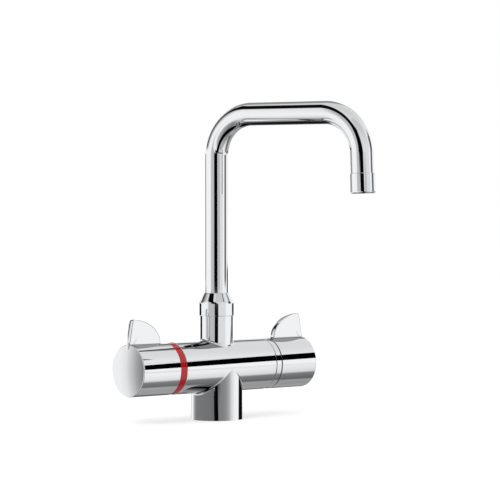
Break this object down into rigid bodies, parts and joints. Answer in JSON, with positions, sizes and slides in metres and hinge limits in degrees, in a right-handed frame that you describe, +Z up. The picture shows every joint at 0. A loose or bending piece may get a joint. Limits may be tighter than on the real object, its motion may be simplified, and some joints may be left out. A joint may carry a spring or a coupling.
{
  "type": "thermostatic kitchen mixer tap",
  "caption": "Thermostatic kitchen mixer tap: a barrel body on a pedestal, a winged temperature knob and a winged flow knob at its ends, a red ring, and a tall square-arched swivel spout.",
  "frame": {"origin": "centre of the pedestal's deck face, on the spout's swivel axis", "axes": "+X along the barrel towards the flow knob, -Y the front where the user stands, +Z up; the spout is stored turned 18 degrees from straight ahead towards +X"},
  "size_m": [0.22, 0.1914, 0.3065],
  "materials": {
    "chrome_plate": "polished",
    "brass_machined": "machined",
    "stainless": "drawn",
    "red_plastic": "gloss",
    "white_plastic": "moulded",
    "grey_plastic": "moulded",
    "black_rubber": "moulded",
    "alumina": "lapped",
    "copper": "drawn"
  },
  "bodies": {
    "tap_body": {"mixer_body": "chrome_plate", "base_gasket": "black_rubber", "hot_inlet_connector": "brass_machined", "cold_inlet_connector": "brass_machined", "hot_inlet_strainer": "grey_plastic", "cold_inlet_strainer": "grey_plastic", "hot_check_valve_housing": "white_plastic", "cold_check_valve_housing": "white_plastic", "hot_check_spring": "stainless", "cold_check_spring": "stainless", "thermo_cartridge_body": "white_plastic", "thermo_cartridge_nut": "brass_machined", "thermo_cartridge_seals": "black_rubber", "thermo_return_spring": "stainless", "temperature_stop_ring": "white_plastic", "hot_indicator_ring": "red_plastic", "flow_cartridge_body": "brass_machined", "flow_cartridge_nut": "brass_machined", "flow_cartridge_seals": "black_rubber", "fixed_ceramic_disc": "alumina", "flow_stop_ring": "white_plastic", "flow_trim_ring": "chrome_plate", "lower_slide_ring": "white_plastic", "spout_collar": "chrome_plate", "swivel_stop_screw": "stainless"},
    "hot_check": {"hot_check_poppet": "grey_plastic"},
    "cold_check": {"cold_check_poppet": "grey_plastic"},
    "shuttle": {"thermo_shuttle": "brass_machined", "wax_element": "copper", "regulating_ram": "brass_machined"},
    "temperature_control": {"temperature_spindle": "brass_machined", "temperature_spindle_seal": "black_rubber", "temperature_knob_insert": "grey_plastic", "temperature_knob": "chrome_plate", "temperature_knob_screw": "stainless"},
    "flow_control": {"moving_ceramic_disc": "alumina", "flow_spindle": "brass_machined", "flow_spindle_seal": "black_rubber", "flow_knob_insert": "grey_plastic", "flow_knob": "chrome_plate", "flow_knob_screw": "stainless"},
    "spout": {"spout_tube": "chrome_plate", "spout_spigot": "brass_machined", "spout_seals": "black_rubber", "upper_slide_ring": "white_plastic", "nozzle_housing": "chrome_plate", "nozzle_seal": "black_rubber", "flow_straightener": "grey_plastic"}
  },
  "joints": [
    {"name": "temperature_turn", "type": "hinge", "parent": "tap_body", "child": "temperature_control", "pos_m": [-0.085, 0, 0.0515], "axis": [1, 0, 0], "range_deg": [-60, 60]},
    {"name": "shuttle_slide", "type": "slide", "parent": "tap_body", "child": "shuttle", "axis": [1, 0, 0], "range_m": [-0.0007, 0.0007], "deforming": ["thermo_return_spring"]},
    {"name": "flow_turn", "type": "hinge", "parent": "tap_body", "child": "flow_control", "pos_m": [0.085, 0, 0.0515], "axis": [1, 0, 0], "range_deg": [0, 90]},
    {"name": "spout_swivel", "type": "hinge", "parent": "tap_body", "child": "spout", "pos_m": [0, 0, 0.09], "axis": [0, 0, 1], "range_deg": [-108, 72]},
    {"name": "hot_check_lift", "type": "slide", "parent": "tap_body", "child": "hot_check", "axis": [0, 0, 1], "range_m": [0, 0.0025], "stiffness_N_per_m": 100, "springref_m": -0.002, "deforming": ["hot_check_spring"]},
    {"name": "cold_check_lift", "type": "slide", "parent": "tap_body", "child": "cold_check", "axis": [0, 0, 1], "range_m": [0, 0.0025], "stiffness_N_per_m": 100, "springref_m": -0.002, "deforming": ["cold_check_spring"]}
  ],
  "couplings": [
    {"joint": "shuttle_slide", "follows": "temperature_turn", "m_per_rad": -0.00063662}
  ]
}
